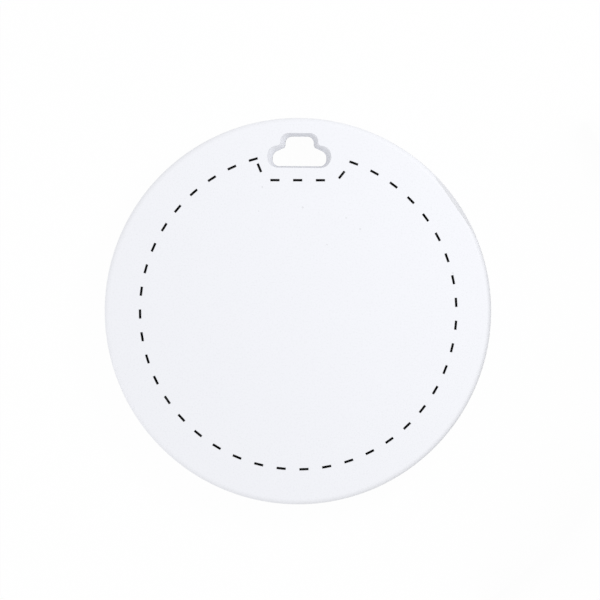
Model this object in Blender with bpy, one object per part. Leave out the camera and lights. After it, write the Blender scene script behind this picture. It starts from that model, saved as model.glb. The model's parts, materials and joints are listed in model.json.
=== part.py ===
"""Round item-finder tag with a coin cell, a radio board and a piezo sounder, as its separate pieces.

Metres, +Z up. The tag lies on its rear cover with its face up: the origin is the centre of the
rear face, and the lanyard hole is towards +Y.
"""

import math

import bmesh
import bpy
from mathutils import Matrix, Vector

MM = 0.001

# Overall size
DIAMETER = 38.0 * MM
THICKNESS = 6.4 * MM

# Covers
FACE_WALL = 0.8 * MM
FLOOR_WALL = 0.8 * MM
RIM_WIDTH = 1.6 * MM
REAR_HEIGHT = 2.75 * MM
FACE_EDGE_RADIUS = 0.5 * MM
REAR_EDGE_RADIUS = 0.8 * MM
SEAM_CHAMFER = 0.12 * MM
NOTCH_ANGLE = 35.0
NOTCH_DEPTH = 0.4 * MM
NOTCH_HALF_LENGTH = 6.0 * MM
SLOT_LENGTH = 3.2 * MM
SLOT_HEIGHT = 0.5 * MM
SLOT_DEPTH = 0.6 * MM
POST_RADIUS = 0.7 * MM
POST_ANGLES = (45.0, 135.0, 225.0, 315.0)

# Lanyard hole: its mouth on the face and its throat inside, as half widths and heights from its centre
HOLE_INSET = 3.3 * MM
LIP_DEPTH = 0.9 * MM
COLLAR_WALL = 1.6 * MM
COLLAR_BEND = 0.6 * MM
MOUTH = {
    "top": 1.82 * MM, "crown": 1.87 * MM, "neck": 0.66 * MM, "side": 3.15 * MM, "shoulder": 0.38 * MM,
    "bottom": 1.60 * MM, "radii": (1.05 * MM, 0.95 * MM, 0.32 * MM, 0.82 * MM),
}
THROAT = {
    "top": 1.48 * MM, "crown": 1.42 * MM, "neck": 0.42 * MM, "side": 2.67 * MM, "shoulder": -0.15 * MM,
    "bottom": 1.44 * MM, "radii": (0.66 * MM, 0.75 * MM, 0.30 * MM, 0.66 * MM),
}

# Running clearances
FIT = 0.05 * MM
SIDE_FIT = 0.15 * MM
PRESS_TRAVEL = 0.20 * MM
SEAM_GAP = PRESS_TRAVEL + FIT

# Sealing ring and snap tabs
SEAL_WIDTH = 0.5 * MM
SEAL_SUNK = 0.45 * MM
SEAL_RISE = 0.5 * MM
SEAL_INSET = 1.0 * MM
SEAL_BEND = 0.5 * MM
TAB_ANGLES = (150.0, 215.0, 325.0, 30.0)
TAB_WIDTH = 4.0 * MM
TAB_THICKNESS = 0.6 * MM

# Coin cell
CELL_DIAMETER = 20.0 * MM
CELL_HEIGHT = 3.2 * MM
CELL_WALL = 0.25 * MM
CAP_INSET = 0.8 * MM
CELL_EDGE = 0.3 * MM
CRIMP_WIDTH = 0.5 * MM
CRIMP_DROP = 0.15 * MM
CRIMP_THICKNESS = 0.12 * MM
CRIMP_SLOPE = 0.05 * MM
PAD_THICKNESS = 0.25 * MM

# Inner frame and board
FRAME_WALL = 0.6 * MM
FRAME_FLOOR = 0.4 * MM
FRAME_LIFT = 0.3 * MM
TRAY_RISE = 0.4 * MM
BOARD_THICKNESS = 0.6 * MM

# Sheet-metal contacts
SHEET = 0.12 * MM
CONTACT_WIDTH = 1.3 * MM
CONTACT_FOOT = 1.0 * MM
CONTACT_INSET = 0.6 * MM
CLIP_SHOULDER = 0.8 * MM
CLIP_REACH = 1.2 * MM
LEAF_END = 2.0 * MM
LEAF_BEND = 3.0 * MM
LEAF_DIP = 0.04 * MM
LEAF_LIFT = 0.1 * MM
PLATE_SPRING_INSET = 1.2 * MM
CERAMIC_SPRING_INSET = 1.5 * MM

# Tactile switch
SWITCH_ANGLE = 270.0
SWITCH_SIDE = 3.0 * MM
SWITCH_HEIGHT = 1.5 * MM
PLUNGER_RADIUS = 0.65 * MM
PLUNGER_STANDS = 0.4 * MM
LID_THICKNESS = 0.15 * MM
WELL_CLEARANCE = 0.35 * MM
WELL_FLOOR = 0.3 * MM
DOME_CROWN = 0.22 * MM
DOME_SHEET = 0.08 * MM
FLANGE_WIDTH = 0.25 * MM
FLANGE_THICKNESS = 0.3 * MM
BOSS_RADIUS = 1.0 * MM

# Piezo sounder
PLATE_RADIUS = 9.5 * MM
PLATE_THICKNESS = 0.2 * MM
CERAMIC_RADIUS = 6.8 * MM
CERAMIC_THICKNESS = 0.15 * MM
TAPE_WIDTH = 1.2 * MM
TAPE_THICKNESS = 0.1 * MM

# Heights and radii that follow from the sizes above
RADIUS = DIAMETER / 2
RIM_INNER = RADIUS - RIM_WIDTH
SEAM_TOP = REAR_HEIGHT + SEAM_GAP
CEILING = THICKNESS - FACE_WALL
HOLE_Y = RADIUS - HOLE_INSET
PAD_TOP = FLOOR_WALL + FIT + PAD_THICKNESS
CELL_BOTTOM = PAD_TOP + FIT
CELL_TOP = CELL_BOTTOM + CELL_HEIGHT
CELL_RADIUS = CELL_DIAMETER / 2
WALL_INNER = CELL_RADIUS + 2 * SIDE_FIT
WALL_OUTER = WALL_INNER + FRAME_WALL
FRAME_BOTTOM = FLOOR_WALL + FRAME_LIFT
BOARD_BOTTOM = FRAME_BOTTOM + FRAME_FLOOR + FIT
BOARD_TOP = BOARD_BOTTOM + BOARD_THICKNESS
TAB_RADIUS = RIM_INNER - SIDE_FIT - TAB_THICKNESS
TRAY_OUTER = TAB_RADIUS - 2 * SIDE_FIT
BOARD_INNER = WALL_OUTER + 2 * SIDE_FIT
BOARD_OUTER = TRAY_OUTER - FRAME_WALL - SIDE_FIT
BOARD_MIDDLE = (BOARD_INNER + BOARD_OUTER) / 2
PARTS_Z = BOARD_TOP + FIT
PLATE_TOP = CEILING - 2 * FIT - TAPE_THICKNESS
PLATE_BOTTOM = PLATE_TOP - PLATE_THICKNESS
CERAMIC_TOP = PLATE_BOTTOM - FIT
CERAMIC_BOTTOM = CERAMIC_TOP - CERAMIC_THICKNESS
LEAF_Z = CELL_TOP + LEAF_LIFT


def clear_scene():
    for obj in list(bpy.data.objects):
        bpy.data.objects.remove(obj, do_unlink=True)


def finish(name, colour, roughness, metallic=0.0):
    """The material of that name, made once."""
    material = bpy.data.materials.get(name)
    if material:
        return material
    material = bpy.data.materials.new(name)
    material.use_nodes = True
    shader = material.node_tree.nodes["Principled BSDF"]
    shader.inputs["Base Color"].default_value = (*colour, 1.0)
    shader.inputs["Roughness"].default_value = roughness
    shader.inputs["Metallic"].default_value = metallic
    return material


def white_plastic():
    return finish("white_abs", (0.92, 0.93, 0.95), 0.5)


def black_plastic():
    return finish("black_nylon", (0.03, 0.03, 0.035), 0.55)


def board_green():
    return finish("board_laminate", (0.02, 0.16, 0.09), 0.4)


def steel():
    return finish("bright_steel", (0.72, 0.72, 0.70), 0.25, 1.0)


def brass():
    return finish("piezo_brass", (0.78, 0.60, 0.28), 0.3, 1.0)


def gilt():
    return finish("gilt_contact", (0.85, 0.68, 0.35), 0.25, 1.0)


def white_ceramic():
    return finish("white_ceramic", (0.86, 0.85, 0.80), 0.4)


def silicone():
    return finish("grey_silicone", (0.45, 0.47, 0.50), 0.7)


def foam():
    return finish("black_foam", (0.05, 0.05, 0.05), 0.95)


def make_object(name, bm, material, location=(0, 0, 0), turn=0.0, parent=None):
    """A smooth-shaded object of the closed mesh, with its normals outward, turned about +Z in degrees."""
    bmesh.ops.remove_doubles(bm, verts=bm.verts, dist=1e-7)
    bmesh.ops.recalc_face_normals(bm, faces=bm.faces)
    mesh = bpy.data.meshes.new(name)
    bm.to_mesh(mesh)
    bm.free()
    mesh.shade_smooth()
    mesh.set_sharp_from_angle(angle=math.radians(35))
    obj = bpy.data.objects.new(name, mesh)
    bpy.context.scene.collection.objects.link(obj)
    if material:
        mesh.materials.append(material)
    obj.location = location
    obj.rotation_euler = (0, 0, math.radians(turn))
    obj.parent = parent
    return obj


def helper(name, bm, turn=0.0):
    """A hidden shape that a Boolean joins or cuts."""
    obj = make_object(name, bm, None, turn=turn)
    obj.hide_render = True
    obj.display_type = "WIRE"
    return obj


def boolean(target, other, operation="DIFFERENCE"):
    modifier = target.modifiers.new(other.name, "BOOLEAN")
    modifier.operation = operation
    modifier.solver = "EXACT"
    modifier.object = other


def empty(name, location, parent=None):
    """An axis that a moving sub-assembly hangs on."""
    obj = bpy.data.objects.new(name, None)
    bpy.context.scene.collection.objects.link(obj)
    obj.location = location
    obj.parent = parent
    return obj


def polar(radius, degrees, z=0.0):
    angle = math.radians(degrees)
    return Vector((radius * math.cos(angle), radius * math.sin(angle), z))


def arc(centre, radius, start, end, steps):
    """Points along an arc in a plane, from start to end in degrees."""
    points = []
    for step in range(steps + 1):
        angle = math.radians(start + (end - start) * step / steps)
        points.append((centre[0] + radius * math.cos(angle), centre[1] + radius * math.sin(angle)))
    return points


def rounded(corners, steps=5):
    """A closed outline through (x, y, radius) corners, each turned into an arc that meets both sides."""
    points = []
    for index, (x, y, radius) in enumerate(corners):
        corner = Vector((x, y))
        back = (Vector(corners[index - 1][:2]) - corner).normalized()
        ahead = (Vector(corners[(index + 1) % len(corners)][:2]) - corner).normalized()
        half = back.angle(ahead) / 2
        centre = corner + (back + ahead).normalized() * (radius / math.sin(half))
        first = corner + back * (radius / math.tan(half)) - centre
        last = corner + ahead * (radius / math.tan(half)) - centre
        start = math.atan2(first.y, first.x)
        sweep = (math.atan2(last.y, last.x) - start + math.pi) % (2 * math.pi) - math.pi
        points += arc(centre, radius, math.degrees(start), math.degrees(start + sweep), steps)
    return points


def hat_outline(size):
    """The lanyard hole's outline: a low crown over a wider rounded bar."""
    side, crown = size["side"], size["crown"]
    bar, shoulder, neck, top = size["radii"]
    right = [
        (side, -size["bottom"], bar),
        (side, size["shoulder"], shoulder),
        (crown, size["neck"], neck),
        (crown, size["top"], top),
    ]
    left = [(-x, y, radius) for x, y, radius in reversed(right)]
    return [(x, y + HOLE_Y) for x, y in rounded(right + left)]


def skin(rings, close_ends=True):
    """A mesh through rings of equally many points, each joined to the next by quads."""
    bm = bmesh.new()
    rows = [[bm.verts.new(point) for point in ring] for ring in rings]
    count = len(rows[0])
    for low, high in zip(rows, rows[1:]):
        for index in range(count):
            after = (index + 1) % count
            bm.faces.new((low[index], low[after], high[after], high[index]))
    if close_ends:
        bm.faces.new(list(reversed(rows[0])))
        bm.faces.new(rows[-1])
    return bm


def prism(outline, bottom, top):
    """The closed solid of a flat outline between two heights."""
    return skin([[(x, y, z) for x, y in outline] for z in (bottom, top)])


def lathe(profile, steps):
    """A solid turned about Z from (radius, height) points; the profile closes on itself or on the axis."""
    bm = bmesh.new()
    verts = [bm.verts.new((radius, 0, z)) for radius, z in profile]
    edges = [bm.edges.new(pair) for pair in zip(verts, verts[1:])]
    if profile[0][0] > 0:
        edges.append(bm.edges.new((verts[-1], verts[0])))
    bmesh.ops.spin(
        bm, geom=verts + edges, cent=(0, 0, 0), axis=(0, 0, 1), angle=2 * math.pi,
        steps=steps, use_merge=False,
    )
    bmesh.ops.remove_doubles(bm, verts=bm.verts, dist=1e-7)
    bmesh.ops.dissolve_degenerate(bm, dist=1e-8, edges=bm.edges)
    return bm


def ring(inner, outer, bottom, top, steps):
    return lathe([(inner, bottom), (outer, bottom), (outer, top), (inner, top)], steps)


def disc(radius, bottom, top, steps):
    return lathe([(0, bottom), (radius, bottom), (radius, top), (0, top)], steps)


def block(size, centre=(0, 0, 0)):
    """A box of that size about that centre."""
    bm = bmesh.new()
    place = Matrix.Translation(centre) @ Matrix.Diagonal((*size, 1.0))
    bmesh.ops.create_cube(bm, size=1.0, matrix=place)
    return bm


def band(path, width, bottom, top):
    """A closed band of one width that follows a closed flat path."""
    inner, outer = [], []
    for index, (x, y) in enumerate(path):
        along = Vector(path[(index + 1) % len(path)]) - Vector(path[index - 1])
        side = Vector((along.y, -along.x)).normalized() * (width / 2)
        outer.append((x + side.x, y + side.y))
        inner.append((x - side.x, y - side.y))
    corners = [(outer, bottom), (outer, top), (inner, top), (inner, bottom), (outer, bottom)]
    return skin([[(x, y, z) for x, y in line] for line, z in corners], close_ends=False)


def seal_path():
    """Round the rim, with a detour inside the lanyard hole."""
    radius = RADIUS - SEAL_INSET
    reach = THROAT["side"] + COLLAR_WALL / 2
    low = HOLE_Y - THROAT["bottom"] - COLLAR_WALL / 2
    bend = SEAL_BEND
    high = math.sqrt((radius - bend) ** 2 - (reach + bend) ** 2)
    open_angle = math.degrees(math.atan2(high, reach + bend))
    path = arc((0, 0), radius, 180 - open_angle, 360 + open_angle, 96)
    path += arc((reach + bend, high), bend, open_angle, 180, 4)
    path += arc((reach - bend, low + bend), bend, 0, -90, 4)
    path += arc((bend - reach, low + bend), bend, -90, -180, 4)
    path += arc((-reach - bend, high), bend, 0, 180 - open_angle, 4)
    return [point for index, point in enumerate(path) if math.dist(point, path[index - 1]) > FIT / 10]


def collar_outline():
    """The block of wall that carries the lanyard hole, out to the middle of the rim."""
    side = THROAT["side"] + COLLAR_WALL
    low = HOLE_Y - THROAT["bottom"] - COLLAR_WALL
    high = math.sqrt((RADIUS - RIM_WIDTH / 2) ** 2 - side**2)
    bend = COLLAR_BEND
    return rounded([(side, low, bend), (side, high, bend), (-side, high, bend), (-side, low, bend)], 4)


def hole_cutter(face_z, inward):
    """The lanyard hole from outside one face, through its lip, to past the seam."""
    mouth, throat = hat_outline(MOUTH), hat_outline(THROAT)
    levels = [(face_z - inward * LIP_DEPTH, 0.0)]
    levels += [(face_z, 0.0), (face_z + inward * LIP_DEPTH, 1.0), (face_z + inward * (THICKNESS - LIP_DEPTH), 1.0)]
    rings = []
    for z, share in levels:
        rings.append(
            [
                (a[0] + (b[0] - a[0]) * share, a[1] + (b[1] - a[1]) * share, z)
                for a, b in zip(mouth, throat)
            ]
        )
    return skin(rings)


def notch_cutter():
    """A slanted flat that thins the face's edge where a fingernail opens the seam."""
    reach = THICKNESS - REAR_HEIGHT
    corners = [
        (RADIUS - NOTCH_DEPTH, THICKNESS),
        (RADIUS - NOTCH_DEPTH, THICKNESS + reach),
        (RADIUS + reach, THICKNESS + reach),
        (RADIUS + reach, THICKNESS - reach),
        (RADIUS, THICKNESS - reach),
    ]
    half = NOTCH_HALF_LENGTH
    return skin([[(x, y, z) for x, z in corners] for y in (-half, half)])


def slot_cutter():
    """The slot in the rear cover's seam for a coin or a nail."""
    size = (2 * SLOT_DEPTH, SLOT_LENGTH, 2 * SLOT_HEIGHT)
    return block(size, (RADIUS, 0, REAR_HEIGHT))


def build_rear_cover():
    """Floor, rim, seal groove, hole collar and the posts that carry the frame."""
    edge = REAR_EDGE_RADIUS
    profile = [(0, 0), *arc((RADIUS - edge, edge), edge, -90, 0, 5)]
    profile += [(RADIUS, REAR_HEIGHT - SEAM_CHAMFER), (RADIUS - SEAM_CHAMFER, REAR_HEIGHT)]
    profile += [(RIM_INNER, REAR_HEIGHT), (RIM_INNER, FLOOR_WALL), (0, FLOOR_WALL)]
    cover = make_object("rear_cover", lathe(profile, 96), white_plastic())
    sunk = FLOOR_WALL / 2
    boolean(cover, helper("rear_collar", prism(collar_outline(), sunk, REAR_HEIGHT)), "UNION")
    for index, angle in enumerate(POST_ANGLES, 1):
        post = disc(POST_RADIUS, sunk, FRAME_BOTTOM - FIT, 12)
        bmesh.ops.translate(post, verts=post.verts, vec=polar(BOARD_MIDDLE, angle))
        boolean(cover, helper(f"post_{index}", post), "UNION")
    boolean(cover, helper("rear_groove", seal_groove(REAR_HEIGHT - SEAL_SUNK - FIT, SEAM_TOP)))
    boolean(cover, helper("rear_hole", hole_cutter(0, 1)))
    boolean(cover, helper("rear_slot", slot_cutter(), NOTCH_ANGLE))
    return cover


def seal_groove(bottom, top):
    return band(seal_path(), SEAL_WIDTH + 2 * FIT, bottom, top)


def build_sealing_ring():
    """A silicone band that stands in a groove of each cover and closes the seam between them."""
    seal = band(seal_path(), SEAL_WIDTH, REAR_HEIGHT - SEAL_SUNK, REAR_HEIGHT + SEAL_RISE)
    return make_object("sealing_ring", seal, silicone())


def build_front_cover(parent):
    """Face, rim, hole collar, snap tabs and the boss that works the switch."""
    edge = FACE_EDGE_RADIUS
    profile = [(0, CEILING), (RIM_INNER, CEILING), (RIM_INNER, SEAM_TOP)]
    profile += [(RADIUS - SEAM_CHAMFER, SEAM_TOP), (RADIUS, SEAM_TOP + SEAM_CHAMFER)]
    profile += arc((RADIUS - edge, THICKNESS - edge), edge, 0, 90, 5)
    profile.append((0, THICKNESS))
    cover = make_object("front_cover", lathe(profile, 96), white_plastic(), parent=parent)
    sunk = CEILING + FACE_WALL / 2
    boolean(cover, helper("front_collar", prism(collar_outline(), SEAM_TOP, sunk)), "UNION")
    tab_bottom = FLOOR_WALL + PRESS_TRAVEL + 2 * SIDE_FIT
    for index, angle in enumerate(TAB_ANGLES, 1):
        size = (TAB_THICKNESS, TAB_WIDTH, sunk - tab_bottom)
        centre = (TAB_RADIUS + TAB_THICKNESS / 2, 0, (sunk + tab_bottom) / 2)
        boolean(cover, helper(f"tab_{index}", block(size, centre), angle), "UNION")
    boss_bottom = PARTS_Z + SWITCH_HEIGHT + PLUNGER_STANDS + FIT
    boss = disc(BOSS_RADIUS, boss_bottom, sunk, 24)
    bmesh.ops.translate(boss, verts=boss.verts, vec=polar(BOARD_MIDDLE, SWITCH_ANGLE))
    boolean(cover, helper("press_boss", boss), "UNION")
    groove_top = REAR_HEIGHT + SEAL_RISE + PRESS_TRAVEL + FIT
    boolean(cover, helper("front_groove", seal_groove(REAR_HEIGHT, groove_top)))
    boolean(cover, helper("front_hole", hole_cutter(THICKNESS, -1)))
    boolean(cover, helper("front_notch", notch_cutter(), NOTCH_ANGLE))
    return cover


def build_coin_cell(parent):
    """Can, insulating gasket and cap of a flat lithium cell, can side down."""
    low, wall = CELL_BOTTOM, CELL_WALL
    edge = CELL_EDGE
    crimp_top = CELL_TOP - CRIMP_DROP
    crimp_inner = CELL_RADIUS - CRIMP_WIDTH
    can = [(0, low), *arc((CELL_RADIUS - edge, low + edge), edge, -90, 0, 4)]
    can += [(CELL_RADIUS, crimp_top - edge), (CELL_RADIUS - edge, crimp_top), (crimp_inner, crimp_top)]
    can += [(crimp_inner, crimp_top - CRIMP_THICKNESS), (CELL_RADIUS - wall - CRIMP_SLOPE, crimp_top - 4 * CRIMP_SLOPE)]
    can += [(CELL_RADIUS - wall, crimp_top - edge - wall), (CELL_RADIUS - wall, low + wall), (0, low + wall)]
    make_object("cell_can", lathe(can, 64), steel(), parent=parent)
    cap_radius = CELL_RADIUS - CAP_INSET
    gasket_outer = CELL_RADIUS - wall - FIT
    gasket_top = crimp_top - edge - wall
    gasket_bottom = low + wall + FIT
    lip = crimp_inner - FIT
    gasket = [(cap_radius + FIT, gasket_bottom), (gasket_outer, gasket_bottom), (gasket_outer, gasket_top)]
    gasket += [(lip, gasket_top), (lip, crimp_top), (cap_radius + FIT, crimp_top)]
    make_object("cell_gasket", lathe(gasket, 64), black_plastic(), parent=parent)
    cap = [(cap_radius, gasket_bottom), (cap_radius, CELL_TOP - edge)]
    cap += [(cap_radius - edge, CELL_TOP), (0, CELL_TOP), (0, CELL_TOP - wall)]
    cap += [(cap_radius - edge, CELL_TOP - wall), (cap_radius - wall, CELL_TOP - edge - wall / 2)]
    cap.append((cap_radius - wall, gasket_bottom))
    make_object("cell_cap", turned_cup(cap), steel(), parent=parent)


def turned_cup(profile):
    """A cup's shell, whose profile starts and ends on its open rim and crosses the axis once."""
    crossing = next(i for i, point in enumerate(profile) if point[0] == 0)
    return lathe(profile[crossing + 1 :] + profile[: crossing + 1], 64)


def build_inner_frame(parent):
    """A tray for the board, with a wall round the coin cell and a wall round the board."""
    floor_top = FRAME_BOTTOM + FRAME_FLOOR
    wall_top = CELL_TOP - FIT
    rim_top = BOARD_TOP + TRAY_RISE
    profile = [(WALL_INNER, FRAME_BOTTOM), (TRAY_OUTER, FRAME_BOTTOM), (TRAY_OUTER, rim_top)]
    profile += [(TRAY_OUTER - FRAME_WALL, rim_top), (TRAY_OUTER - FRAME_WALL, floor_top)]
    profile += [(WALL_OUTER, floor_top), (WALL_OUTER, wall_top), (WALL_INNER, wall_top)]
    frame = make_object("inner_frame", lathe(profile, 64), black_plastic(), parent=parent)
    boolean(frame, helper("frame_gap", collar_clearance(FRAME_BOTTOM)))
    slot = block(
        (4 * FRAME_WALL, CONTACT_WIDTH + 4 * SIDE_FIT, CELL_HEIGHT),
        (WALL_INNER + FRAME_WALL / 2, 0, PARTS_Z + CELL_HEIGHT / 2),
    )
    boolean(frame, helper("clip_slot", slot, CONTACTS["positive_contact"]))
    return frame


def collar_clearance(bottom):
    """The room that the hole's collar needs in the frame and in the board."""
    side = 2 * (THROAT["side"] + COLLAR_WALL + 2 * SIDE_FIT)
    low = HOLE_Y - THROAT["bottom"] - COLLAR_WALL - 2 * SIDE_FIT
    return block((side, RADIUS - low, THICKNESS), (0, (RADIUS + low) / 2, bottom + THICKNESS / 2 - FRAME_FLOOR))


def build_circuit_board(parent):
    """A ring of laminate round the coin cell, open behind the lanyard hole."""
    board = ring(BOARD_INNER, BOARD_OUTER, BOARD_BOTTOM, BOARD_TOP, 64)
    board = make_object("circuit_board", board, board_green(), parent=parent)
    side = 2 * (THROAT["side"] + COLLAR_WALL + 2 * SIDE_FIT)
    gap = block((side, RADIUS, THICKNESS), (0, WALL_INNER + RADIUS / 2, BOARD_BOTTOM))
    boolean(board, helper("board_gap", gap))
    return board


# Board parts: name, angle on the board, length round it, width across it, height, finish
BOARD_PARTS = (
    ("bluetooth_chip", 20.0, 3.4, 3.4, 0.85, black_plastic),
    ("main_crystal", 2.0, 2.0, 1.6, 0.5, steel),
    ("chip_antenna", 62.0, 2.0, 4.0, 1.1, white_ceramic),
    ("timing_crystal", 345.0, 1.5, 3.2, 0.8, steel),
    ("boost_coil", 238.0, 3.0, 3.0, 1.6, black_plastic),
    ("driver_transistor", 222.0, 1.3, 2.9, 1.0, black_plastic),
    ("reservoir_capacitor", 302.0, 2.5, 3.2, 1.8, white_ceramic),
    ("capacitor_1", 37.0, 0.8, 1.6, 0.8, white_ceramic),
    ("capacitor_2", 44.0, 0.8, 1.6, 0.8, white_ceramic),
    ("capacitor_3", 318.0, 0.8, 1.6, 0.8, white_ceramic),
    ("capacitor_4", 290.0, 0.8, 1.6, 0.8, white_ceramic),
    ("resistor_1", 325.0, 0.8, 1.6, 0.45, black_plastic),
    ("resistor_2", 252.0, 0.8, 1.6, 0.45, black_plastic),
)


def build_board_parts(parent):
    for name, angle, length, width, height, material in BOARD_PARTS:
        size = (width * MM, length * MM, height * MM)
        centre = polar(BOARD_MIDDLE, angle, PARTS_Z + height * MM / 2)
        part = make_object(name, block(size), material(), centre, angle, parent)
        bevel = part.modifiers.new("edges", "BEVEL")
        bevel.width = 0.1 * MM
        bevel.segments = 1
        bevel.limit_method = "ANGLE"


# Contacts: name and the angle on the board where each stands
CONTACTS = {
    "positive_contact": 180.0,
    "negative_contact": 160.0,
    "plate_spring": 200.0,
    "ceramic_spring": 130.0,
}


def strip(points, width):
    """A bent strip of sheet metal through (radius, height) points down its middle."""
    left, right = [], []
    for index, point in enumerate(points):
        here = Vector(point)
        back = (here - Vector(points[max(index - 1, 0)])).normalized()
        ahead = (Vector(points[min(index + 1, len(points) - 1)]) - here).normalized()
        back, ahead = back or ahead, ahead or back
        along = (back + ahead).normalized()
        reach = SHEET / 2 / max(along.dot(ahead), 0.5)
        side = Vector((-along.y, along.x)) * reach
        left.append(here + side)
        right.append(here - side)
    outline = left + right[::-1]
    return skin([[(p.x, y, p.y) for p in outline] for y in (-width / 2, width / 2)])


def build_contacts(parent):
    """Positive clip on the cell's side, leaf on its cap, and two springs up to the piezo disc."""
    foot_z = PARTS_Z + SHEET / 2
    riser = BOARD_INNER + CONTACT_INSET
    foot = [(riser + CONTACT_FOOT, foot_z), (riser, foot_z)]
    touch = CELL_RADIUS + SIDE_FIT / 2 + SHEET / 2
    shoulder = CELL_TOP - CLIP_SHOULDER
    leaf = LEAF_Z + SHEET / 2
    shapes = {
        "positive_contact": [*foot, (riser, shoulder), (touch, shoulder), (touch, shoulder - CLIP_REACH)],
        "negative_contact": [*foot, (riser, leaf), (LEAF_BEND, leaf), (LEAF_END, leaf - LEAF_DIP)],
        "plate_spring": [*foot, (riser, leaf), (PLATE_RADIUS - PLATE_SPRING_INSET, leaf)],
        "ceramic_spring": [*foot, (riser, leaf), (CERAMIC_RADIUS - CERAMIC_SPRING_INSET, leaf)],
    }
    for name, points in shapes.items():
        make_object(name, strip(points, CONTACT_WIDTH), gilt(), turn=CONTACTS[name], parent=parent)


def build_switch(parent):
    """Open-topped body, snap dome and steel lid of the tactile switch."""
    place = polar(BOARD_MIDDLE, SWITCH_ANGLE)
    well = PLUNGER_RADIUS + WELL_CLEARANCE
    floor = PARTS_Z + WELL_FLOOR
    top = PARTS_Z + SWITCH_HEIGHT - LID_THICKNESS - FIT
    size = (SWITCH_SIDE, SWITCH_SIDE, top - PARTS_Z)
    body = make_object("switch_body", block(size, (0, 0, (PARTS_Z + top) / 2)), black_plastic(), place, 0, parent)
    bore = helper("switch_bore", disc(well, floor, THICKNESS, 24))
    bore.location = place
    boolean(body, bore)
    crown, skin_depth = DOME_CROWN, DOME_SHEET
    reach = well - FIT
    outer = [(reach * math.cos(a), floor + FIT + crown * math.sin(a)) for a in dome_angles()]
    inner = [
        ((reach - skin_depth) * math.cos(a), floor + FIT + (crown - skin_depth) * math.sin(a))
        for a in reversed(dome_angles())
    ]
    inner[0], outer[-1] = (0, inner[0][1]), (0, outer[-1][1])
    make_object("switch_dome", lathe(inner + outer, 24), steel(), place, 0, parent)
    lid_side = SWITCH_SIDE - 2 * FIT
    lid_z = PARTS_Z + SWITCH_HEIGHT - LID_THICKNESS / 2
    lid = make_object("switch_lid", block((lid_side, lid_side, LID_THICKNESS), (0, 0, lid_z)), steel(), place, 0, parent)
    window = helper("lid_window", disc(PLUNGER_RADIUS + SIDE_FIT, PARTS_Z, THICKNESS, 24))
    window.location = place
    boolean(lid, window)


def dome_angles():
    return [math.radians(90 * step / 4) for step in range(5)]


def build_switch_plunger(parent):
    """The stem that the cover's boss pushes, with a flange under the lid."""
    flange_top = PARTS_Z + SWITCH_HEIGHT - LID_THICKNESS - 2 * FIT
    flange_bottom = flange_top - FLANGE_THICKNESS
    stem_top = PARTS_Z + SWITCH_HEIGHT + PLUNGER_STANDS
    flange = PLUNGER_RADIUS + FLANGE_WIDTH
    profile = [(0, flange_bottom), (flange, flange_bottom), (flange, flange_top)]
    profile += [(PLUNGER_RADIUS, flange_top), (PLUNGER_RADIUS, stem_top), (0, stem_top)]
    make_object("switch_plunger", lathe(profile, 24), black_plastic(), parent=parent)


def build_sounder(parent):
    """Tape ring, brass plate and ceramic disc under the face."""
    tape_bottom = PLATE_TOP + FIT
    tape = ring(PLATE_RADIUS - TAPE_WIDTH, PLATE_RADIUS, tape_bottom, tape_bottom + TAPE_THICKNESS, 48)
    make_object("piezo_tape", tape, foam(), parent=parent)
    make_object("piezo_plate", disc(PLATE_RADIUS, PLATE_BOTTOM, PLATE_TOP, 48), brass(), parent=parent)
    ceramic = disc(CERAMIC_RADIUS, CERAMIC_BOTTOM, CERAMIC_TOP, 48)
    make_object("piezo_ceramic", ceramic, white_ceramic(), parent=parent)


def build_battery_pad():
    pad = disc(CELL_RADIUS - 2 * MM, FLOOR_WALL + FIT, PAD_TOP, 48)
    return make_object("battery_pad", pad, foam())


def main():
    clear_scene()
    build_rear_cover()
    build_sealing_ring()
    build_battery_pad()
    chassis = empty("chassis_slide", (0, 0, 0))
    cell = empty("cell_slide", (0, 0, 0))
    press = empty("face_slide", (0, 0, 0), chassis)
    plunger = empty("plunger_slide", polar(BOARD_MIDDLE, SWITCH_ANGLE), chassis)
    build_coin_cell(cell)
    build_inner_frame(chassis)
    build_circuit_board(chassis)
    build_board_parts(chassis)
    build_contacts(chassis)
    build_switch(chassis)
    build_switch_plunger(plunger)
    build_front_cover(press)
    build_sounder(press)


main()
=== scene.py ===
"""Looks of a round white item-finder tag: shells, printed guide, cell, board, sounder and studio.

All lengths are in metres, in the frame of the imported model: +Z out of the face, +Y to the lanyard hole.
"""

import json
import logging
import math
from collections.abc import Callable, Iterable, Sequence
from dataclasses import dataclass, field
from enum import Enum

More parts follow.
